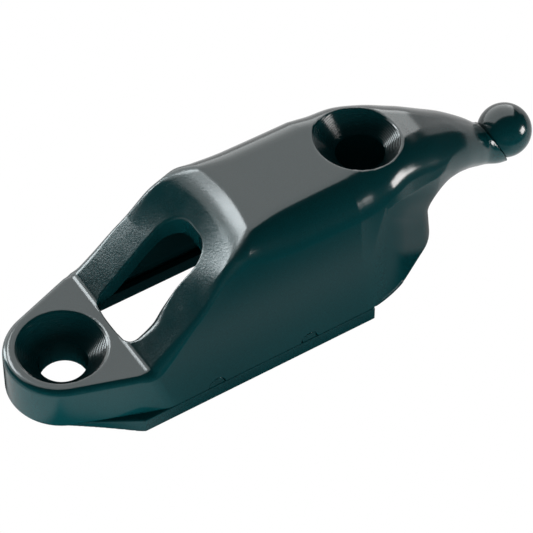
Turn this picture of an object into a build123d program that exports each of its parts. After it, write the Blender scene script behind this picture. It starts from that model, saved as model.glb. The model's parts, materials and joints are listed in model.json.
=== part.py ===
"""Cleat horn for a round spar: a nylon fitting with a rope eye in its ramp and a ball-ended horn.

Millimetres, +Z up. X runs along the spar, from the screw foot (-X) to the tip of the horn (+X).
The fitting is symmetrical about the XZ plane. Its origin is the middle of its length and width,
at the height of the flats under the saddle pad's rails. The spar's crown touches the body at SEAT_Z.
Stations along the fitting are measured from the front screw, and at() turns them into X.
"""
import os
from math import cos, radians, sin, sqrt, tan

from build123d import *

os.makedirs("parts", exist_ok=True)

# Two No. 10 countersunk screws, one in the foot and one through the hump
SCREW_SPACING = 38.1
HOLE_R = 2.7
HEAD_R = 5.0
HEAD_ANGLE = 82

# Heights
SEAT_Z = 1.95          # underside of the body, where the crown of the spar touches it
FOOT_TOP = 7.8
TOP_Z = 19.45          # flat on top of the hump
BODY_HALF = 9.5        # half width at the seat
SPAR_R = 22.2          # a spar 1 3/4 in across; the rails keep a narrow flat outside it

# Foot
FOOT_R = 6.42
FOOT_END = 6.2         # station where the ramp starts
FOOT_EDGE = 1.0        # rounding of the foot's upper edge
FOOT_ROOT = 0.6        # how far the foot runs on under the ramp
FOOT_ROOT_HALF = 8.95

# Ramp and hump
RAMP_ANGLE = 42
RAMP_ROLL = 6.0        # rounding from the ramp onto the flat top
HUMP_TOP_HALF = 7.55   # half width where the leaning sides would meet the top
SHOULDER = 4.5
HUMP_END = 34.0        # station where the hump starts to draw in to the horn

# Heel: the back of the body, tapering to a round end under the horn
HEEL_R = 6.3
HEEL_AT = 40.35
HEEL_TOP = 10.5
HEEL_TAPER = 5.1       # degrees that the heel leans in

# Horn, cut at the seam with the ball
BALL_R = 3.14
BALL_AT = 57.9
BALL_Z = 8.63
SEAM_TILT = 25.5
SEAM_FROM_BALL = 1.87
NECK_DEPTH = 1.15      # the neck's depth at the seam, as a share of the ball's cut face
NECK_ROUND = 0.9       # rounding of the neck's corners there, as a share of the face's radius
BELLY_ROUND = 0.85     # rounding under the horn, as a share of its half width
SPIGOT_R = 1.2
SPIGOT_LENGTH = 2.2

# Hollow under the ramp and hump, with the rear screw's boss standing in it
WALL = 2.0
BOSS_R = 4.8
HOLLOW_START = 6.6
HOLLOW_END = 37.0

# Rope eye through the ramp
EYE_START = 6.3
EYE_END = 16.9
EYE_HALF = 3.5
EYE_END_CORNER = 2.8
EYE_SCOOP = 0.3        # how far the eye's front edge bows into the foot

# Saddle pad: two rails that pack the body's sides down onto the spar, joined by a lip inside it
PAD_END = 34.3
PAD_CORNER = 4.7
PAD_NOSE_R = 5.8
PAD_THIN_HALF = 4.0    # the rails stop here, where the pad would be a feather edge
LIP = 0.7
LIP_HALF = 7.25        # half width over the lip
LIP_LOW = 1.5
LIP_HIGH = 3.4
LIP_END = 33.0
SLIP = 0.05            # gap between the lip and the front of the hollow
KEY_R = 0.95           # half-round keys on the rails' upper edges
KEY_DEPTH = 1.2
KEY_SUNK = 0.15        # how far the keys' ends lie inside the body's wall
KEY_STATIONS = (13.8, 25.7)

# The origin is the middle of the length, from the front of the foot to the end of the ball
FRONT_SCREW_X = -(BALL_AT + BALL_R - FOOT_R) / 2


def at(station):
    """X of a station measured from the front screw."""
    return FRONT_SCREW_X + station


def section(station, half_low, z_low, half_top, z_top, shoulder, belly=0):
    """A slice across the body: leaning sides, rounded shoulders and, on the horn, a round belly."""
    with BuildSketch(Plane.YZ.offset(at(station))) as slice_sketch:
        with BuildLine():
            Polyline(
                (-half_low, z_low),
                (half_low, z_low),
                (half_top, z_top),
                (-half_top, z_top),
                close=True,
            )
        make_face()
        fillet(slice_sketch.vertices().group_by(Axis.Y)[-1], shoulder)
        if belly:
            fillet(slice_sketch.vertices().group_by(Axis.Y)[0], belly * half_low)
    return slice_sketch.sketch


def key_plane(station, side):
    """The inner end of a key, facing out through the body's wall."""
    return Plane((at(station), side * (BODY_HALF - KEY_DEPTH), SEAT_Z), z_dir=(0, side, 0))


def above_ramp(depth, roll):
    """The side view of what lies above the ramp's surface, sunk by depth into the body."""
    slope = radians(RAMP_ANGLE)
    top = TOP_Z - depth
    low = FOOT_TOP - depth
    start = at(FOOT_END) + depth * tan(slope / 2)
    roll_over = start + (top - low) / tan(slope)
    with BuildSketch(Plane.XZ) as side_view:
        with BuildLine():
            Polyline(
                (at(-FOOT_R - 5), low),
                (start, low),
                (roll_over, top),
                (roll_over + 2 * roll, top),
                (roll_over + 2 * roll, TOP_Z + 5),
                (at(-FOOT_R - 5), TOP_Z + 5),
                close=True,
            )
        make_face()
        fillet(side_view.vertices().sort_by_distance((roll_over, top))[0], roll)
    return side_view.sketch


# The seam between neck and ball faces up and forwards
tilt = radians(SEAM_TILT)
seam_origin = (
    at(BALL_AT) - SEAM_FROM_BALL * cos(tilt),
    0,
    BALL_Z - SEAM_FROM_BALL * sin(tilt),
)
seam = Plane(origin=seam_origin, x_dir=(0, 1, 0), z_dir=(cos(tilt), 0, sin(tilt)))
seam_r = sqrt(BALL_R**2 - SEAM_FROM_BALL**2)

# ---------------------------------------------------------------- hollow
hump_end_section = section(HUMP_END, BODY_HALF, SEAT_Z, HUMP_TOP_HALF, TOP_Z, SHOULDER)
hollow_section = section(
    HOLLOW_START, BODY_HALF - WALL, SEAT_Z, HUMP_TOP_HALF - WALL, TOP_Z - WALL, SHOULDER - WALL
)

with BuildPart() as hollow:
    extrude(hollow_section, amount=HOLLOW_END - HOLLOW_START)
    extrude(above_ramp(WALL, RAMP_ROLL - WALL), amount=BODY_HALF, both=True, mode=Mode.SUBTRACT)
    with Locations((at(SCREW_SPACING), 0, SEAT_Z)):
        Cylinder(BOSS_R, TOP_Z, align=(Align.CENTER, Align.CENTER, Align.MIN), mode=Mode.SUBTRACT)

# ---------------------------------------------------------------- rope eye
with BuildPart() as eye:
    with BuildSketch(Plane.XY) as eye_plan:
        with BuildLine():
            Polyline(
                (at(EYE_START), EYE_HALF),
                (at(EYE_END), EYE_HALF),
                (at(EYE_END), -EYE_HALF),
                (at(EYE_START), -EYE_HALF),
            )
            ThreePointArc(
                (at(EYE_START), -EYE_HALF),
                (at(EYE_START) - EYE_SCOOP, 0),
                (at(EYE_START), EYE_HALF),
            )
        make_face()
        fillet(eye_plan.vertices().group_by(Axis.X)[-1], EYE_END_CORNER)
    extrude(amount=TOP_Z)

# ---------------------------------------------------------------- horn
with BuildSketch(seam) as neck_end:
    Rectangle(2 * seam_r, 2 * seam_r * NECK_DEPTH)
    fillet(neck_end.vertices(), seam_r * NECK_ROUND)

with BuildPart() as horn:
    horn_sections = [
        section(44, 5.4, 7.8, 5.3, 17.8, 4.0, BELLY_ROUND),
        section(45.5, 5.0, 7.7, 4.9, 17.2, 3.7, BELLY_ROUND),
        section(48, 4.35, 7.6, 4.25, 15.9, 3.3, BELLY_ROUND),
        section(50.5, 3.75, 7.3, 3.6, 14.4, 2.9, BELLY_ROUND),
        section(53, 3.0, 6.3, 2.9, 12.4, 2.4, BELLY_ROUND),
        neck_end.sketch,
    ]
    loft(horn_sections)
    # The neck swells into the same round as the ball, up to the seam
    with Locations((at(BALL_AT), 0, BALL_Z)):
        Sphere(BALL_R)
    split(bisect_by=seam, keep=Keep.BOTTOM)
    with BuildSketch(seam):
        Circle(SPIGOT_R)
    extrude(amount=SPIGOT_LENGTH)

# ---------------------------------------------------------------- foot
with BuildPart() as foot:
    with BuildSketch(Plane.XY.offset(SEAT_Z)):
        with Locations((at(0), 0)):
            Circle(FOOT_R)
        with Locations((at(FOOT_END), 0)):
            Rectangle(FOOT_ROOT, 2 * FOOT_ROOT_HALF, align=(Align.MIN, Align.CENTER))
        make_hull()
    extrude(amount=FOOT_TOP - SEAT_Z)
    rim = foot.edges().group_by(Axis.Z)[-1].sort_by(Axis.X)[:-1]
    fillet(rim, FOOT_EDGE)

# ---------------------------------------------------------------- notches for the pad's keys
with BuildPart() as key_notches:
    for side in (-1, 1):
        for station in KEY_STATIONS:
            with BuildSketch(key_plane(station, side)):
                Circle(KEY_R)
            extrude(amount=2 * KEY_DEPTH)

# ---------------------------------------------------------------- horn body
with BuildPart() as horn_body:
    # Hump: one section drawn along the fitting, and cut by the ramp
    hump_section = section(FOOT_END, BODY_HALF, SEAT_Z, HUMP_TOP_HALF, TOP_Z, SHOULDER)
    extrude(hump_section, amount=HUMP_END - FOOT_END)
    extrude(above_ramp(0, RAMP_ROLL), amount=2 * BODY_HALF, both=True, mode=Mode.SUBTRACT)

    # Rear of the hump, drawing in to the root of the horn
    rear_sections = [
        hump_end_section,
        section(38, 8.7, SEAT_Z, 6.65, 19.3, 4.4),
        section(41.5, 6.65, SEAT_Z, 5.7, 18.7, 4.2),
        section(44, 5.1, SEAT_Z, 5.3, 17.8, 4.0),
    ]
    loft(rear_sections)

    add(horn.part)

    # Heel under the root of the horn
    with BuildSketch(Plane.XY.offset(SEAT_Z)):
        with Locations((at(HEEL_AT), 0)):
            Circle(HEEL_R)
    extrude(amount=HEEL_TOP - SEAT_Z, taper=HEEL_TAPER)

    add(foot.part)
    add(hollow.part, mode=Mode.SUBTRACT)
    add(eye.part, mode=Mode.SUBTRACT)
    add(key_notches.part, mode=Mode.SUBTRACT)

    # Screw holes, countersunk from above
    with Locations((at(0), 0, FOOT_TOP)):
        CounterSinkHole(HOLE_R, HEAD_R, FOOT_TOP, HEAD_ANGLE)
    with Locations((at(SCREW_SPACING), 0, TOP_Z)):
        CounterSinkHole(HOLE_R, HEAD_R + 0.3, TOP_Z, HEAD_ANGLE)

horn_body.part.label = "horn_body"
export_step(horn_body.part, "parts/horn_body.step")

# ---------------------------------------------------------------- saddle pad
with BuildPart() as saddle_pad:
    with BuildSketch(Plane.XY):
        with Locations((at(0), 0)):
            Circle(PAD_NOSE_R)
        with Locations((at(PAD_CORNER), 0)):
            Rectangle(PAD_END - PAD_CORNER, 2 * BODY_HALF, align=(Align.MIN, Align.CENTER))
        make_hull()
    extrude(amount=SEAT_Z)
    # Open between the rails: under the hollow and out through the square end, and ahead of it
    with Locations((at(HOLLOW_START), 0, 0)):
        Box(
            2 * PAD_END, 2 * (BODY_HALF - WALL), SEAT_Z,
            align=(Align.MIN, Align.CENTER, Align.MIN), mode=Mode.SUBTRACT,
        )
        Box(
            2 * PAD_END, 2 * PAD_THIN_HALF, SEAT_Z,
            align=(Align.MAX, Align.CENTER, Align.MIN), mode=Mode.SUBTRACT,
        )
    # Locating lip: it stands up inside the hollow along both sides and across the back
    with BuildSketch(Plane.XY.offset(LIP_LOW)):
        with Locations((at(HOLLOW_START) + SLIP, 0)):
            Rectangle(
                LIP_END - HOLLOW_START, 2 * LIP_HALF, align=(Align.MIN, Align.CENTER)
            )
            Rectangle(
                LIP_END - HOLLOW_START - LIP, 2 * (LIP_HALF - LIP),
                align=(Align.MIN, Align.CENTER), mode=Mode.SUBTRACT,
            )
    extrude(amount=LIP_HIGH - LIP_LOW)
    # Rail between the lip and the wall, below the seat
    with BuildSketch(Plane.XY.offset(LIP_LOW)):
        for side in (-1, 1):
            with Locations((at(HOLLOW_START) + SLIP, side * (LIP_HALF - LIP))):
                Rectangle(
                    LIP_END - HOLLOW_START, BODY_HALF - WALL - LIP_HALF + LIP,
                    align=(Align.MIN, Align.MIN if side > 0 else Align.MAX),
                )
    extrude(amount=SEAT_Z - LIP_LOW)
    # Half-round keys on the rails' upper edges
    for side in (-1, 1):
        for station in KEY_STATIONS:
            with BuildSketch(key_plane(station, side)):
                Circle(KEY_R)
            extrude(amount=KEY_DEPTH - KEY_SUNK)
    # The underside lies on the spar
    with Locations((at(0), 0, SEAT_Z - SPAR_R)):
        Cylinder(SPAR_R, 4 * PAD_END, rotation=(0, 90, 0), mode=Mode.SUBTRACT)

saddle_pad.part.label = "saddle_pad"
export_step(saddle_pad.part, "parts/saddle_pad.step")

# ---------------------------------------------------------------- tip ball
with BuildPart() as tip_ball:
    with Locations((at(BALL_AT), 0, BALL_Z)):
        Sphere(BALL_R)
    split(bisect_by=seam, keep=Keep.TOP)
    with BuildSketch(seam):
        Circle(SPIGOT_R)
    extrude(amount=SPIGOT_LENGTH + SLIP, mode=Mode.SUBTRACT)

tip_ball.part.label = "tip_ball"
export_step(tip_ball.part, "parts/tip_ball.step")
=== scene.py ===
"""Cleat horn on a light table: the moulded shapes, their nylon and the studio round them.

Each piece is described by a field: a function of position that is negative inside the nylon and
positive outside it, about in millimetres. A piece's mesh is drawn where its field is zero.
Positions are stations: s runs along the fitting from the front screw, y across it, z up, all in mm.
"""
import json
from math import asin, atan2, cos, hypot, pi, radians, sin, sqrt, tan

import bpy
import numpy as np
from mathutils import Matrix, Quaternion, Vector


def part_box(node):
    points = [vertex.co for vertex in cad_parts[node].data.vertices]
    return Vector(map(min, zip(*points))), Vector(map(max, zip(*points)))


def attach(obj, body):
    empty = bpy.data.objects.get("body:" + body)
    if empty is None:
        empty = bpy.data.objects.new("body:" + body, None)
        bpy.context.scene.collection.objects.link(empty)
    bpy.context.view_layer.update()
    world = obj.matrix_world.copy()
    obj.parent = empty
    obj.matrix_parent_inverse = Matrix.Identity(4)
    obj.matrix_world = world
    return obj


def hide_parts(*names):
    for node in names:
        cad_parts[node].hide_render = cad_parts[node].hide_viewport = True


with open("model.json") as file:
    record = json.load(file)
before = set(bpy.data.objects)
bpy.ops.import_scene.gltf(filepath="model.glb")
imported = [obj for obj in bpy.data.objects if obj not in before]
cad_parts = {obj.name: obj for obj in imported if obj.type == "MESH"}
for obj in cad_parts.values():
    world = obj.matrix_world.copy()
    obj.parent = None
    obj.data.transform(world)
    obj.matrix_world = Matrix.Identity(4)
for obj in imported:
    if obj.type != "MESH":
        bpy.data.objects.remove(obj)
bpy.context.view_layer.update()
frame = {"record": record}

# ---------------------------------------------------------------- dimensions, in millimetres
MM = 0.001
screws = next(m for m in frame["record"]["mounts"] if m["name"] == "spar_screws")
ball_low, ball_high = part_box("tip_ball")
body_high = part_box("horn_body")[1]
pad_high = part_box("saddle_pad")[1]

# Screws
SPACING = screws["dims"]["spacing_x_mm"]
HOLE_R = screws["dims"]["hole_r_mm"]
FRONT_SCREW_X = screws["pos_m"][0] / MM - SPACING / 2
HEAD_R = 5.0
REAR_HEAD_R = 5.3
HEAD_ANGLE = radians(82)
HEAD_RIM = 0.18               # rounding of the seat's upper edge
HEAD_FOOT = 0.08              # fillet where the seat's cone meets the hole

# Body
SEAT_Z = screws["pos_m"][2] / MM
TOP_Z = body_high.z / MM
BODY_HALF = pad_high.y / MM
SIDE_LEAN = 0.1114            # inward, per mm of height
SIDE_SEAM = 0.14              # rounding of the edges on both sides of the seam
TOP_EDGE = 0.1                # rounding where the arch is cut off at the top's height
FOOT_TOP = 7.8
FOOT_R = 6.42
FOOT_FLARE = radians(18.9)    # the foot's flanks open out to the hump
FOOT_END = 6.2
FOOT_BEND = 4.0
RAMP_ANGLE = radians(42)
RAMP_ROLL = 6.0
RAMP_CREASE = 0.25
DOME_LEVEL = 5.0              # half width at which the domed ramp keeps its plain height
ARCH_HALF = 7.0               # half width within which the arch bends round the eye
WALL = 2.0
HOLLOW_START = 6.6
HOLLOW_END = 37.0
HOLLOW_CORNER = 2.2
HOLLOW_FILLET = 0.8
BOSS_R = 4.8

# Horn, by station
CREASE_START = 33.0           # here the roof's lower edge passes from the wall to the crease
CREASE_START_Z = 15.6
BELLY_START = 37.0
CREASE_FREE = 40.0            # from here on the crease stands clear of the wall

# Rope eye through the ramp
EYE_START = 6.3
EYE_END = 16.9
EYE_HALF = 3.5
EYE_END_CORNER = 2.8
EYE_FRONT_CORNER = 0.9
EYE_SCOOP = 0.3
EYE_EDGE = 0.2                # rounding of the eye's sharp edges and of the hollow's mouth
EYE_RIM_RISE = 2.0            # the rolled rim starts this far above the seam

# Heel
HEEL_R = 6.3
HEEL_AT = 40.35
HEEL_FLARE = radians(30.6)
HEEL_BEND = 14.0
HEEL_LEAN = 0.09

# Ball and the seam across the neck
BALL_R = (ball_high.z - ball_low.z) / 2 / MM
BALL_AT = ball_high.x / MM - FRONT_SCREW_X - BALL_R
BALL_Z = (ball_high.z + ball_low.z) / 2 / MM
SEAM_TILT = radians(25.5)
SEAM_FROM_BALL = 1.87
SEAM_EDGE = 0.1
NECK_BLEND = 1.5              # hollow fillet where the neck swells into the ball's round

# Saddle pad
PAD_NOSE_R = 5.8
PAD_CORNER = 4.7
PAD_END = 34.3
PAD_FOOT_EDGE = 0.2
PAD_RAIL_EDGE = 0.15
PAD_GAP = 0.05                # clearance between the pad's lip and the body
SPAR_R = 22.2
SPAR_EDGE = 0.2
PAD_THIN_HALF = 4.0
LIP = 0.7
LIP_HALF = 7.25
LIP_LOW = 1.5
LIP_HIGH = 3.4
LIP_END = 33.0
FLASH_R = 0.32
FLASH_INSET = 0.2             # how deep the flash's round edge is buried in the wall
FLASH_END = 38.9
FLASH_ROOT = 0.05
KEY_R = 0.95
KEY_DEPTH = 1.2
KEY_SUNK = 0.15               # the keys' faces lie this far under the wall's
KEY_GAP = 0.03
KEY_EDGE = 0.08
KEY_STATIONS = (13.8, 25.7)

# Surface relief, peak to trough
FINE_GRAIN = 0.003
ERODED_GRAIN = 0.022
RING_DEPTH = 0.009
RING_PITCH = 0.19

# The nylon's noise, in cycles per metre, and its gloss
FINE_SCALE = 9000.0
PIT_SCALE = 3600.0
CLOUD_SCALE = 450.0
SPECULAR_LEVEL = 0.32

# Meshing
CELL = 0.2
GRID_MARGINS = (0.37, 0.41)   # past a piece's box, and unequal so that no flat face lies on the grid
MOST_TRIANGLES = 170_000
FAR = 9.0                     # stands for any distance that is well away from the surface
SHARP = 1e-6                  # the radius of an edge that isn't rounded

# Camera
LENS_MM = 217.8
SENSOR_MM = 36
SWING = radians(-32.44)
RAISED = radians(49.65)
ROLL = radians(0.14)
AIM = (23.64, -3.77, 10.0)    # station, across, up
CAMERA_DISTANCE = 350.39

# Lights
LIGHT_DISTANCE = 600.0


# ---------------------------------------------------------------- field tools
def curve(*knots):
    """A smooth function through (station, value) knots that never overshoots them."""
    at, value = (np.array(column, float) for column in zip(*knots))
    rise = np.diff(value) / np.diff(at)
    before, after = rise[:-1], rise[1:]
    same_way = before * after > 0
    middle = np.zeros_like(before)
    middle[same_way] = 2 / (1 / before[same_way] + 1 / after[same_way])
    slope = np.concatenate([rise[:1], middle, rise[-1:]])

    def evaluate(s):
        s = np.clip(s, at[0], at[-1])
        i = np.clip(np.searchsorted(at, s, side="right") - 1, 0, len(at) - 2)
        width = at[i + 1] - at[i]
        t = (s - at[i]) / width
        ends = value[i] * (1 + 2 * t) * (1 - t) ** 2 + value[i + 1] * t**2 * (3 - 2 * t)
        return ends + width * (slope[i] * t * (1 - t) ** 2 - slope[i + 1] * t**2 * (1 - t))

    return evaluate


def both(a, b, radius):
    """What lies inside a and b, with the edge between them rounded."""
    radius = np.maximum(radius, SHARP)
    corner = np.hypot(np.maximum(a + radius, 0), np.maximum(b + radius, 0))
    return np.minimum(np.maximum(a, b), -radius) + corner


def either(a, b, radius):
    """What lies inside a or b, with a hollow fillet between them."""
    return -both(-a, -b, radius)


def bend(a, b, radius, angle):
    """What lies inside a and b, two faces that turn through a shallow angle, with a fillet."""
    return both(a, b, radius * (1 - cos(angle / 2)) / (1 - sqrt(0.5)))


def cap(out, y, radius, flare):
    """Plan of a round end: a circle whose flanks open backwards at an angle. out points off the end."""
    side = np.abs(y)
    flank = out * sin(flare) + side * cos(flare) - radius
    ahead = out * cos(flare) - side * sin(flare) > 0
    return np.where(ahead, np.hypot(out, side) - radius, flank)


# ---------------------------------------------------------------- horn body
# Outline of the flat top and the horn, seen from the side
top_height = curve(
    (34, TOP_Z), (38, 19.3), (41.5, 18.7), (44, 17.8), (45.5, 17.2),
    (48, 15.9), (50.5, 14.4), (53, 12.4), (55.3, 9.95), (57.5, 7.3),
)
# Rounding radius between the roof and the sides
shoulder = curve(
    (5.0, 0.75), (6.5, 1.2), (8.5, 1.0), (12, 0.5), (15, 0.6), (18, 1.7), (21, 3.0), (25, 3.8),
    (35, 4.0), (38, 3.3), (41.5, 2.9), (44, 2.9), (48, 2.7), (50.5, 2.5), (53, 2.1), (55.5, 1.8),
)
# The crease along each side of the horn, where its roof meets the surfaces under it
crease_z = curve(
    (34, CREASE_START_Z), (37.8, CREASE_START_Z), (41.1, 15.0), (45.3, 14.1),
    (47.8, 13.3), (50.3, 12.5), (52.8, 11.0), (56.2, 8.0),
)
crease_half = curve(
    (CREASE_START, BODY_HALF - SIDE_LEAN * (CREASE_START_Z - SEAT_Z)), (37.8, 7.3), (41.1, 6.45),
    (43.8, 5.75), (45.3, 5.36), (47.8, 4.65), (50.3, 3.95), (52.8, 3.15), (55.3, 2.5), (57.2, 2.35),
)
# Inward lean of the roof's flanks above the crease, per mm of height
crease_lean = curve(
    (CREASE_START, SIDE_LEAN), (38, 0.2), (43, 0.3), (47, 0.4), (51, 0.45), (54, 0.35), (57, 0.1),
)
# Rounding of the crease once it stands clear of the wall
crease_edge = curve((46, 0.05), (50, 1.2), (57, 1.6))
# Outline of the horn's underside, and its fillet against the heel
belly_z = curve(
    (BELLY_START, 8.6), (44, 7.8), (46.5, 7.6), (49, 7.6), (51, 7.1), (53, 6.2), (55, 5.4), (57.5, 4.6),
)
belly_fillet = curve((BELLY_START, 0.4), (41, 1.6), (45, 3.2))
# The ramp and the arch over the eye are a little domed: they drop by this share of y squared
dome = curve((FOOT_END, 0), (9, 0.006), (13, 0.009), (17, 0.009), (20, 0.004), (24, 0))
# The ramp meets the flat top in a curve that bends round the eye, by this share of y squared
arch = curve((13, 0), (16.5, 0.035), (22, 0.035), (27, 0))
# Rounding of the body's lower edge: fuller round the foot than along the seam with the pad
lower_edge = curve((-1, 0.45), (5, SIDE_SEAM))
# The eye's rim is rolled over along one flank, where the rope bears, and sharp elsewhere
rolled_rim = curve(
    (FOOT_END, EYE_EDGE), (6.8, 0.7), (7.6, 1.2), (9.2, 1.6), (10.6, 0.85), (12.6, 0.25), (17, EYE_EDGE),
)


def roof(s, y, z):
    """Height above the foot, the ramp and the top."""
    z = z + dome(s) * (y**2 - DOME_LEVEL**2)
    s = s + arch(s) * (np.minimum(np.abs(y), ARCH_HALF) ** 2 - DOME_LEVEL**2)
    foot = z - FOOT_TOP
    ramp = foot * cos(RAMP_ANGLE) - (s - FOOT_END) * sin(RAMP_ANGLE)
    front = either(foot, ramp, RAMP_CREASE)
    return bend(front, z - top_height(s), RAMP_ROLL, RAMP_ANGLE)


def walls(s, y, z):
    """The leaning sides, from the foot's round nose to the round heel."""
    climb = z - SEAT_Z
    straight = np.abs(y) - BODY_HALF + SIDE_LEAN * climb
    nose = cap(-s, y, FOOT_R, FOOT_FLARE)
    heel = cap(s - HEEL_AT, y, HEEL_R, HEEL_FLARE) + HEEL_LEAN * climb
    return bend(bend(straight, nose, FOOT_BEND, FOOT_FLARE), heel, HEEL_BEND, HEEL_FLARE)


def belly(s, y, z):
    """The horn's underside: half an ellipse across, from crease to crease."""
    half = crease_half(s)
    under = np.minimum(z - crease_z(s), 0)
    drop = crease_z(s) - belly_z(s)
    ratio = np.hypot(y / half, under / drop)
    steep = np.maximum(np.hypot(y / half**2, under / drop**2), 1e-6)
    return np.maximum(ratio * (ratio - 1) / steep, BELLY_START - s)


def seam(s, z):
    """Distance past the seam across the neck."""
    return (s - BALL_AT) * cos(SEAM_TILT) + (z - BALL_Z) * sin(SEAM_TILT) + SEAM_FROM_BALL


def moulding(s, y, z):
    """The body's outside."""
    side = walls(s, y, z)
    lean = crease_lean(s)
    over_side = (np.abs(y) - crease_half(s) - lean * (crease_z(s) - z)) / np.sqrt(1 + lean**2)
    upper = both(roof(s, y, z), np.where(s < CREASE_START, side, over_side), shoulder(s))
    lower = either(side, belly(s, y, z), belly_fillet(s))
    return both(upper, lower, np.where(s < CREASE_FREE, SHARP, crease_edge(s)))


def hollow(s, y, z):
    """The space under the ramp and hump, round the rear screw's boss."""
    inside = both(roof(s, y, z) + WALL, walls(s, y, z) + WALL, HOLLOW_CORNER)
    ends = np.maximum(HOLLOW_START - s, s - HOLLOW_END)
    boss = BOSS_R - np.hypot(s - SPACING, y)
    return both(both(inside, ends, HOLLOW_FILLET), boss, HOLLOW_FILLET)


def rope_eye(s, y):
    """Plan of the eye: a rounded upper end, and an arc across the foot."""
    long_end = both(np.abs(y) - EYE_HALF, s - EYE_END, EYE_END_CORNER)
    arc_r = (EYE_HALF**2 + EYE_SCOOP**2) / (2 * EYE_SCOOP)
    across = np.hypot(np.minimum(s - EYE_START + EYE_SCOOP - arc_r, 0), y) - arc_r
    return both(long_end, across, EYE_FRONT_CORNER)


def eye_rim(s, y, z):
    """Rounding of the eye's edges."""
    rolled = (y < 0) & (z > SEAT_Z + EYE_RIM_RISE)
    return np.where(rolled, rolled_rim(s), EYE_EDGE)


def screw_hole(s, y, z, at, top, head_r):
    """A countersunk hole."""
    off = np.hypot(s - at, y)
    cone = (off - head_r - (z - top) * tan(HEAD_ANGLE / 2)) * cos(HEAD_ANGLE / 2)
    return either(cone, off - HOLE_R, HEAD_FOOT)


def key(s, y, z, at, grow):
    """A half-round key on the pad, or its notch in the body's wall."""
    disc = np.hypot(s - at, z - SEAT_Z) - KEY_R - grow
    return np.maximum(disc, BODY_HALF - KEY_DEPTH - grow - np.abs(y))


def sphere(s, y, z):
    """The ball's round."""
    return np.sqrt((s - BALL_AT) ** 2 + y**2 + (z - BALL_Z) ** 2) - BALL_R


def horn_body(s, y, z):
    """Foot, ramp, hump, heel and horn, up to the seam across the neck."""
    solid = either(moulding(s, y, z), sphere(s, y, z), NECK_BLEND)
    solid = both(solid, z - TOP_Z, TOP_EDGE)
    solid = both(solid, SEAT_Z - z, lower_edge(s))
    solid = both(solid, seam(s, z), SEAM_EDGE)
    solid = both(solid, -hollow(s, y, z), EYE_EDGE)
    solid = both(solid, -rope_eye(s, y), eye_rim(s, y, z))
    solid = both(solid, -screw_hole(s, y, z, 0, FOOT_TOP, HEAD_R), HEAD_RIM)
    solid = both(solid, -screw_hole(s, y, z, SPACING, TOP_Z, REAR_HEAD_R), HEAD_RIM)
    for at in KEY_STATIONS:
        solid = both(solid, -key(s, y, z, at, KEY_GAP), KEY_EDGE)
    # A thin lip of flash runs on along the seam's line, behind the pad
    flash = np.hypot(walls(s, y, z) + FLASH_INSET, z - SEAT_Z - FLASH_R) - FLASH_R
    flash = np.maximum(flash, np.maximum(PAD_END + PAD_GAP - s, s - FLASH_END))
    return either(solid, flash, FLASH_ROOT)


# ---------------------------------------------------------------- saddle pad and ball
def saddle_pad(s, y, z):
    """The strip under the body, cut away to a round spar, with a locating lip and two keys a side."""
    side = np.abs(y)
    # The pad's front runs straight from its side corners to a tangent on its round nose
    corner_away = hypot(PAD_CORNER, BODY_HALF)
    flare = atan2(BODY_HALF, PAD_CORNER) - asin(PAD_NOSE_R / corner_away)
    plan = np.maximum(np.maximum(side - BODY_HALF, cap(-s, y, PAD_NOSE_R, flare)), s - PAD_END)
    slab = both(both(plan, z - SEAT_Z, SIDE_SEAM), -z, PAD_FOOT_EDGE)
    inner_half = np.where(s < HOLLOW_START, PAD_THIN_HALF, BODY_HALF - WALL)
    rails = both(slab, inner_half - side, PAD_RAIL_EDGE)
    # The locating lip, and the shelf that joins it to the rails
    ends = np.maximum(HOLLOW_START + PAD_GAP - s, s - LIP_END)
    opening = np.maximum(side - LIP_HALF + LIP, s - LIP_END + LIP)
    lip = np.maximum(np.maximum(side - LIP_HALF, ends), np.maximum(LIP_LOW - z, z - LIP_HIGH))
    shelf = np.maximum(np.maximum(side - BODY_HALF + WALL, ends), np.maximum(LIP_LOW - z, z - SEAT_Z))
    solid = np.minimum(rails, np.maximum(np.minimum(lip, shelf), -opening))
    for at in KEY_STATIONS:
        solid = np.minimum(solid, np.maximum(key(s, y, z, at, 0), side - BODY_HALF + KEY_SUNK))
    spar = SPAR_R - np.hypot(y, z - SEAT_Z + SPAR_R)
    return both(solid, spar, SPAR_EDGE)


def tip_ball(s, y, z):
    """The ball, from the seam outwards."""
    return both(sphere(s, y, z), -seam(s, z), SEAM_EDGE)


# ---------------------------------------------------------------- meshes from fields
def sample(field, axes, stride=4):
    """The field on a grid. Points well away from the surface only get its sign."""
    coarse = field(*np.meshgrid(*(axis[::stride] for axis in axes), indexing="ij"))
    # Near means within one and a half diagonals of a coarse cell
    reach = 1.5 * sqrt(3) * stride * (axes[0][1] - axes[0][0])
    near = np.abs(coarse) < reach
    for axis in range(3):
        near[tuple(slice(None, -1) if a == axis else slice(None) for a in range(3))] |= near[
            tuple(slice(1, None) if a == axis else slice(None) for a in range(3))
        ]
    for axis in range(3):
        near = np.repeat(near, stride, axis)
        coarse = np.repeat(coarse, stride, axis)
    shape = tuple(len(axis) for axis in axes)
    cut = tuple(slice(0, n) for n in shape)
    near, values = near[cut], np.where(coarse[cut] < 0, -FAR, FAR)
    i, j, k = np.nonzero(near)
    values[i, j, k] = field(axes[0][i], axes[1][j], axes[2][k])
    return values


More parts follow.
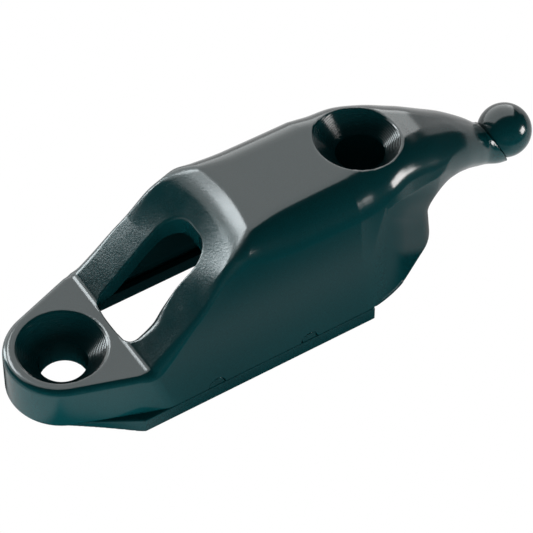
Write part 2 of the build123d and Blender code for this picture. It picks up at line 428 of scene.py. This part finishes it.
def surface(field, low, high, cell):
    """Points and four-sided faces of the field's zero surface, by surface nets."""
    axes = []
    for lo, hi in zip(low, high):
        count = int(np.ceil((hi - lo) / (4 * cell))) * 4 + 1
        axes.append(lo + cell * np.arange(count))
    values = sample(field, axes)
    inside = values < 0
    cells = tuple(n - 1 for n in inside.shape)
    some = np.zeros(cells, bool)
    every = np.ones(cells, bool)
    for corner in np.ndindex(2, 2, 2):
        part = inside[tuple(slice(c, c + n) for c, n in zip(corner, cells))]
        some |= part
        every &= part
    active = np.stack(np.nonzero(some & ~every), 1)
    number = np.full(cells, -1, np.int32)
    number[tuple(active.T)] = np.arange(len(active))

    # Each cell's point is the mean of the places where the surface crosses its edges
    total = np.zeros((len(active), 3))
    count = np.zeros(len(active))
    for axis in range(3):
        step = np.eye(3, dtype=int)[axis]
        others = [a for a in range(3) if a != axis]
        for offset in np.ndindex(2, 2):
            start = active.copy()
            start[:, others[0]] += offset[0]
            start[:, others[1]] += offset[1]
            a = values[tuple(start.T)]
            b = values[tuple((start + step).T)]
            crossed = (a < 0) != (b < 0)
            t = a[crossed] / (a[crossed] - b[crossed])
            total[crossed] += start[crossed] + t[:, None] * step
            count += crossed
    points = np.array([axis[0] for axis in axes]) + cell * total / count[:, None]

    # Each crossed grid edge has a face through the four cells round it
    faces = []
    for axis in range(3):
        u, v = (axis + 1) % 3, (axis + 2) % 3
        first = [slice(None)] * 3
        second = [slice(None)] * 3
        first[axis], second[axis] = slice(None, -1), slice(1, None)
        leaving = inside[tuple(first)] & ~inside[tuple(second)]
        entering = ~inside[tuple(first)] & inside[tuple(second)]
        for crossed, outward in ((leaving, True), (entering, False)):
            edge = np.stack(np.nonzero(crossed), 1)
            ring = []
            for du, dv in ((1, 1), (0, 1), (0, 0), (1, 0)):
                near = edge.copy()
                near[:, u] -= du
                near[:, v] -= dv
                ring.append(number[tuple(near.T)])
            ring = np.stack(ring, 1)
            faces.append(ring if outward else ring[:, ::-1])
    return points, np.concatenate(faces)


def values_at(field, points):
    """The field at a list of points."""
    return field(points[:, 0], points[:, 1], points[:, 2])


def gradient(field, points, reach=0.02):
    """The field's steepest climb at each point, by central differences."""
    slope = np.empty_like(points)
    for axis in range(3):
        step = reach * np.eye(3)[axis]
        slope[:, axis] = (values_at(field, points + step) - values_at(field, points - step)) / (2 * reach)
    return slope


def settle(field, points, most, rounds=3):
    """Moves points onto the surface, each by no more than most in a round."""
    for _ in range(rounds):
        slope = gradient(field, points)
        steep = np.maximum((slope**2).sum(1), 0.25)
        move = (values_at(field, points) / steep)[:, None] * slope
        length = np.maximum(np.linalg.norm(move, axis=1), 1e-9)
        points = points - move * np.minimum(1, most / length)[:, None]
    return points


def to_frame(points):
    """Stations to the row's frame, in metres."""
    return (points + np.array([FRONT_SCREW_X, 0, 0])) * MM


def to_stations(points):
    """Metres in the row's frame to stations."""
    return points / MM - np.array([FRONT_SCREW_X, 0, 0])


def new_mesh(name, points, faces):
    """A mesh whose faces all have the same number of corners."""
    mesh = bpy.data.meshes.new(name)
    mesh.vertices.add(len(points))
    mesh.vertices.foreach_set("co", points.astype(np.float32).ravel())
    mesh.loops.add(faces.size)
    mesh.loops.foreach_set("vertex_index", faces.astype(np.int32).ravel())
    mesh.polygons.add(len(faces))
    mesh.polygons.foreach_set("loop_start", np.arange(0, faces.size, faces.shape[1], dtype=np.int32))
    mesh.update(calc_edges=True)
    mesh.validate()
    return mesh


def moulded_piece(name, field, low, high, cell=CELL):
    """A piece whose surface is where its field is zero, with its normals taken from the field."""
    points, faces = surface(field, low, high, cell)
    points = settle(field, points, cell / 2)
    draft = bpy.data.objects.new(name, new_mesh(name, to_frame(points), faces))
    bpy.context.collection.objects.link(draft)
    triangles = 2 * len(faces)
    if triangles > MOST_TRIANGLES:
        thin = draft.modifiers.new("thin", "DECIMATE")
        thin.ratio = MOST_TRIANGLES / triangles
        graph = bpy.context.evaluated_depsgraph_get()
        mesh = bpy.data.meshes.new_from_object(draft.evaluated_get(graph))
        draft.modifiers.clear()
        draft.data = mesh
    mesh = draft.data
    flat = np.empty(3 * len(mesh.vertices), np.float32)
    mesh.vertices.foreach_get("co", flat)
    points = settle(field, to_stations(flat.reshape(-1, 3).astype(float)), cell / 2, 2)
    mesh.vertices.foreach_set("co", to_frame(points).astype(np.float32).ravel())
    normals = gradient(field, points)
    normals /= np.maximum(np.linalg.norm(normals, axis=1), 1e-9)[:, None]
    mesh.update()
    mesh.shade_smooth()
    mesh.normals_split_custom_set_from_vertices(normals.astype(np.float32))
    return draft, points


# ---------------------------------------------------------------- nylon
class Nodes:
    """A short hand for building node trees."""

    def __init__(self, tree):
        self.tree = tree
        tree.nodes.clear()

    def add(self, kind, settings=None, **inputs):
        """A new node. An input is given by its name, or by its number as i0, i1 and so on."""
        node = self.tree.nodes.new(kind)
        for setting, value in (settings or {}).items():
            setattr(node, setting, value)
        for label, value in inputs.items():
            numbered = label[0] == "i" and label[1:].isdigit()
            socket = node.inputs[int(label[1:]) if numbered else label.replace("_", " ")]
            if isinstance(value, bpy.types.NodeSocket):
                self.tree.links.new(value, socket)
            else:
                socket.default_value = value
        return node

    def noise(self, where, scale, detail, roughness=0.5):
        """Soft noise from 0 to 1."""
        settings = {"Vector": where, "Scale": scale, "Detail": detail, "Roughness": roughness}
        return self.add("ShaderNodeTexNoise", **settings).outputs["Fac"]

    def attribute(self, name):
        """A value stored on the mesh's points."""
        return self.add("ShaderNodeAttribute", {"attribute_name": name}).outputs["Fac"]

    def math(self, operation, *values):
        """The result of a math node."""
        inputs = {f"i{n}": value for n, value in enumerate(values)}
        return self.add("ShaderNodeMath", {"operation": operation}, **inputs).outputs[0]


def nylon(name, colour, roughness):
    """Moulded nylon: fine grain all over, coarse sparkle on the ramp, turned rings in the screw seats."""
    material = bpy.data.materials.new(name)
    material.use_nodes = True
    make = Nodes(material.node_tree)
    where = make.add("ShaderNodeTexCoord").outputs["Object"]
    fine = make.noise(where, FINE_SCALE, 2.0, 0.6)
    pits = make.noise(where, PIT_SCALE, 3.0, 0.7)
    cloud = make.noise(where, CLOUD_SCALE, 3.0)
    on_ramp = make.attribute("eroded")
    in_seat = make.attribute("turned")

    # The turned rings are a sine of the height, with a wobble
    height = make.add("ShaderNodeSeparateXYZ", Vector=where).outputs["Z"]
    wobble = make.math("MULTIPLY", cloud, 3.0)
    rings = make.math("SINE", make.math("MULTIPLY_ADD", height, 2 * pi / (RING_PITCH * MM), wobble))
    relief = make.math("MULTIPLY", fine, FINE_GRAIN * MM)
    relief = make.math("MULTIPLY_ADD", make.math("MULTIPLY", pits, on_ramp), ERODED_GRAIN * MM, relief)
    relief = make.math("MULTIPLY_ADD", make.math("MULTIPLY", rings, in_seat), RING_DEPTH * MM, relief)
    bump = make.add("ShaderNodeBump", Strength=1.0, Distance=1.0, Height=relief).outputs[0]

    # The grain also shows in the gloss and the colour, and the eroded ramp is patchy
    grained = make.math("MULTIPLY_ADD", fine, 0.05, roughness)
    rough = make.math("MULTIPLY_ADD", make.math("MULTIPLY", on_ramp, cloud), 0.2, grained)
    shade = make.add("ShaderNodeMapRange", i0=fine, i1=0.3, i2=0.7, i3=0.8, i4=1.25).outputs[0]
    tint = make.add("ShaderNodeVectorMath", {"operation": "SCALE"}, i0=colour, Scale=shade).outputs[0]
    shader = make.add("ShaderNodeBsdfPrincipled", Base_Color=tint, Roughness=rough, Normal=bump)
    shader.inputs["Specular IOR Level"].default_value = SPECULAR_LEVEL
    make.add("ShaderNodeOutputMaterial", Surface=shader.outputs[0])
    return material


def add_attribute(piece, name, values):
    """Stores a value at each of the piece's points."""
    layer = piece.data.attributes.new(name, "FLOAT", "POINT")
    layer.data.foreach_set("value", np.asarray(values, np.float32))


def fade(value, start, end):
    """From 0 to 1 as the value runs from start to end."""
    return np.clip((value - start) / (end - start), 0, 1)


def eroded(points):
    """1 on the spark-eroded ramp and arch, 0 elsewhere."""
    s, y, z = points.T
    above_ramp = (z - FOOT_TOP) * cos(RAMP_ANGLE) - (s - FOOT_END) * sin(RAMP_ANGLE)
    along = fade(s, FOOT_END + 0.1, FOOT_END + 0.4) * fade(s, 21.5, 20.5)
    across = fade(np.abs(y), BODY_HALF - 0.6, BODY_HALF - 1.8)
    return fade(above_ramp, -1.35, -0.15) * along * across


def turned(points):
    """1 on the two conical screw seats, 0 elsewhere."""
    s, y, z = points.T
    result = np.zeros(len(s))
    for at, top, head_r in ((0, FOOT_TOP, HEAD_R), (SPACING, TOP_Z, REAR_HEAD_R)):
        off = np.hypot(s - at, y)
        cone = off - head_r - (z - top) * tan(HEAD_ANGLE / 2)
        result[(np.abs(cone) < 0.12) & (off > HOLE_R + 0.1)] = 1
    return result


def show(node, field, material):
    """Shows a CAD node as a moulded piece, and returns the piece."""
    low, high = (to_stations(np.array(corner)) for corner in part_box(node))
    name = f"{node}_moulding"
    piece, points = moulded_piece(name, field, low - GRID_MARGINS[0], high + GRID_MARGINS[1])
    add_attribute(piece, "eroded", eroded(points))
    add_attribute(piece, "turned", turned(points))
    piece.data.materials.append(material)
    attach(piece, "root")
    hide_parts(node)
    return piece


# ---------------------------------------------------------------- floor, light and camera
def light_table():
    """A white floor. Reflections see it grey beside the fitting, where the fitting's shadow would lie."""
    bpy.ops.mesh.primitive_plane_add(size=4)
    floor = bpy.context.object
    floor.name = "light_table"
    material = bpy.data.materials.new("light_table")
    material.use_nodes = True
    make = Nodes(material.node_tree)
    place = make.add("ShaderNodeSeparateXYZ", Vector=make.add("ShaderNodeNewGeometry").outputs["Position"])
    x, y = place.outputs["X"], place.outputs["Y"]

    def step(value, start, end, low, high):
        """From low to high as value, in metres, runs from start to end, in millimetres."""
        smooth = {"interpolation_type": "SMOOTHSTEP"}
        limits = {"i0": value, "i1": start * MM, "i2": end * MM, "i3": low, "i4": high}
        return make.add("ShaderNodeMapRange", smooth, **limits).outputs[0]

    # How bright each stretch of floor looks in the fitting: a painted shadow keeps it dim next to the
    # fitting, where its shadow would lie, and brighter further off
    side = make.math("ABSOLUTE", y)
    beside = make.math("ADD", step(side, 9, 12.5, 0, 0.18), step(side, 12, 22, 0, 0.28))
    at_foot = make.math("MULTIPLY", step(x, -27, -16, 0.45, 0), step(side, 8, 10, 0, 1))
    at_back = step(y, 10, 30, 0, 0.5)
    past_front = step(x, -35, -33, 0.8, 0)
    past_heel = make.math("ADD", step(x, 17.5, 19, 0, 0.2), step(x, 22, 31, 0, 0.6))
    glow_with_painted_shadow = make.math("ADD", make.math("ADD", beside, at_foot), at_back)
    glow_with_painted_shadow = make.math("MAXIMUM", make.math("MAXIMUM", glow_with_painted_shadow, past_heel), past_front)
    glow_with_painted_shadow = make.math("MULTIPLY", glow_with_painted_shadow, step(y, -27, -18, 0, 1))

    # Soft light from the floor is stronger than its mirror image, and the camera sees plain white
    path = make.add("ShaderNodeLightPath")
    soft = path.outputs["Is Diffuse Ray"]
    bounce = make.math("MULTIPLY", glow_with_painted_shadow, make.math("MULTIPLY_ADD", soft, 4.5, 1.0))
    bounce = make.math("MAXIMUM", bounce, make.math("MULTIPLY", soft, 0.8))
    strength = make.math("MAXIMUM", bounce, path.outputs["Is Camera Ray"])
    glow = make.add("ShaderNodeEmission", Color=(1, 1, 1, 1), Strength=strength)
    make.add("ShaderNodeOutputMaterial", Surface=glow.outputs[0])
    floor.data.materials.append(material)


def direction(azimuth, elevation):
    """Azimuth is turned from the horn's way, anticlockwise seen from above."""
    turn, climb = radians(azimuth), radians(elevation)
    return Vector((cos(turn) * cos(climb), sin(turn) * cos(climb), sin(climb)))


def soft_box(name, azimuth, elevation, width, height, radiance, colour, fill=False, only=None):
    """An area light, sized in degrees as the fitting sees it. Radiance is relative to the white floor.

    It shows only in the gloss, or as a fill only in the nylon's own colour. It can light one piece only.
    """
    distance = LIGHT_DISTANCE * MM
    data = bpy.data.lights.new(name, "AREA")
    data.shape = "RECTANGLE"
    data.size = 2 * distance * tan(radians(width) / 2)
    data.size_y = 2 * distance * tan(radians(height) / 2)
    data.energy = radiance * pi * data.size * data.size_y
    data.color = colour
    box = bpy.data.objects.new(name, data)
    bpy.context.collection.objects.link(box)
    box.location = direction(azimuth, elevation) * distance
    box.rotation_euler = (pi / 2 - radians(elevation), 0, pi / 2 + radians(azimuth))
    box.visible_camera = False
    box.visible_glossy = not fill
    box.visible_diffuse = fill
    if only:
        lit = bpy.data.collections.new(name)
        lit.objects.link(only)
        box.light_linking.receiver_collection = lit


def studio(body):
    """Soft boxes behind and to the left, a warm lamp to the right and a fill in front."""
    scene = bpy.context.scene
    scene.view_settings.view_transform = "Standard"
    world = bpy.data.worlds.new("studio")
    scene.world = world
    world.use_nodes = True
    make = Nodes(world.node_tree)
    path = make.add("ShaderNodeLightPath")
    soft = make.math("MULTIPLY_ADD", path.outputs["Is Diffuse Ray"], 0.16, 0.01)
    strength = make.math("MAXIMUM", path.outputs["Is Camera Ray"], soft)
    sky = make.add("ShaderNodeBackground", Color=(1, 1, 1, 1), Strength=strength)
    make.add("ShaderNodeOutputWorld", Surface=sky.outputs[0])
    soft_box("back_box", 80, 38, 92, 76, 3.6, (0.97, 1.0, 1.0))
    soft_box("arch_light", 98, 51, 24, 14, 20.0, (0.9, 0.97, 1.0), only=body)
    soft_box("left_strip", 119, 6, 14, 50, 17.0, (0.88, 0.97, 1.0), only=body)
    soft_box("right_lamp", -39, 7, 20, 20, 24.0, (1.0, 0.96, 0.94))
    soft_box("right_backdrop", 30, 8, 34, 22, 1.0, (1, 1, 1))
    soft_box("front_fill", -100, -2, 70, 36, 6.5, (1, 1, 1), fill=True)


def photo_camera():
    """A long lens, swung round to the left front and raised, that looks at the hump."""
    data = bpy.data.cameras.new("camera")
    data.lens = LENS_MM
    data.sensor_width = SENSOR_MM
    data.clip_end = 10
    camera = bpy.data.objects.new("camera", data)
    bpy.context.collection.objects.link(camera)
    target = Vector((FRONT_SCREW_X + AIM[0], AIM[1], AIM[2])) * MM
    back = Vector((sin(SWING) * cos(RAISED), -cos(SWING) * cos(RAISED), sin(RAISED)))
    camera.location = target + back * (CAMERA_DISTANCE * MM)
    level = back.to_track_quat("Z", "Y")
    camera.rotation_euler = (level @ Quaternion((0, 0, 1), ROLL)).to_euler()
    bpy.context.scene.camera = camera


black = nylon("black_nylon", (0.0012, 0.030, 0.034), 0.12)
pad_black = nylon("pad_nylon", (0.0012, 0.028, 0.032), 0.18)

body_piece = show("horn_body", horn_body, black)
show("saddle_pad", saddle_pad, pad_black)
show("tip_ball", tip_ball, black)
light_table()
studio(body_piece)
photo_camera()
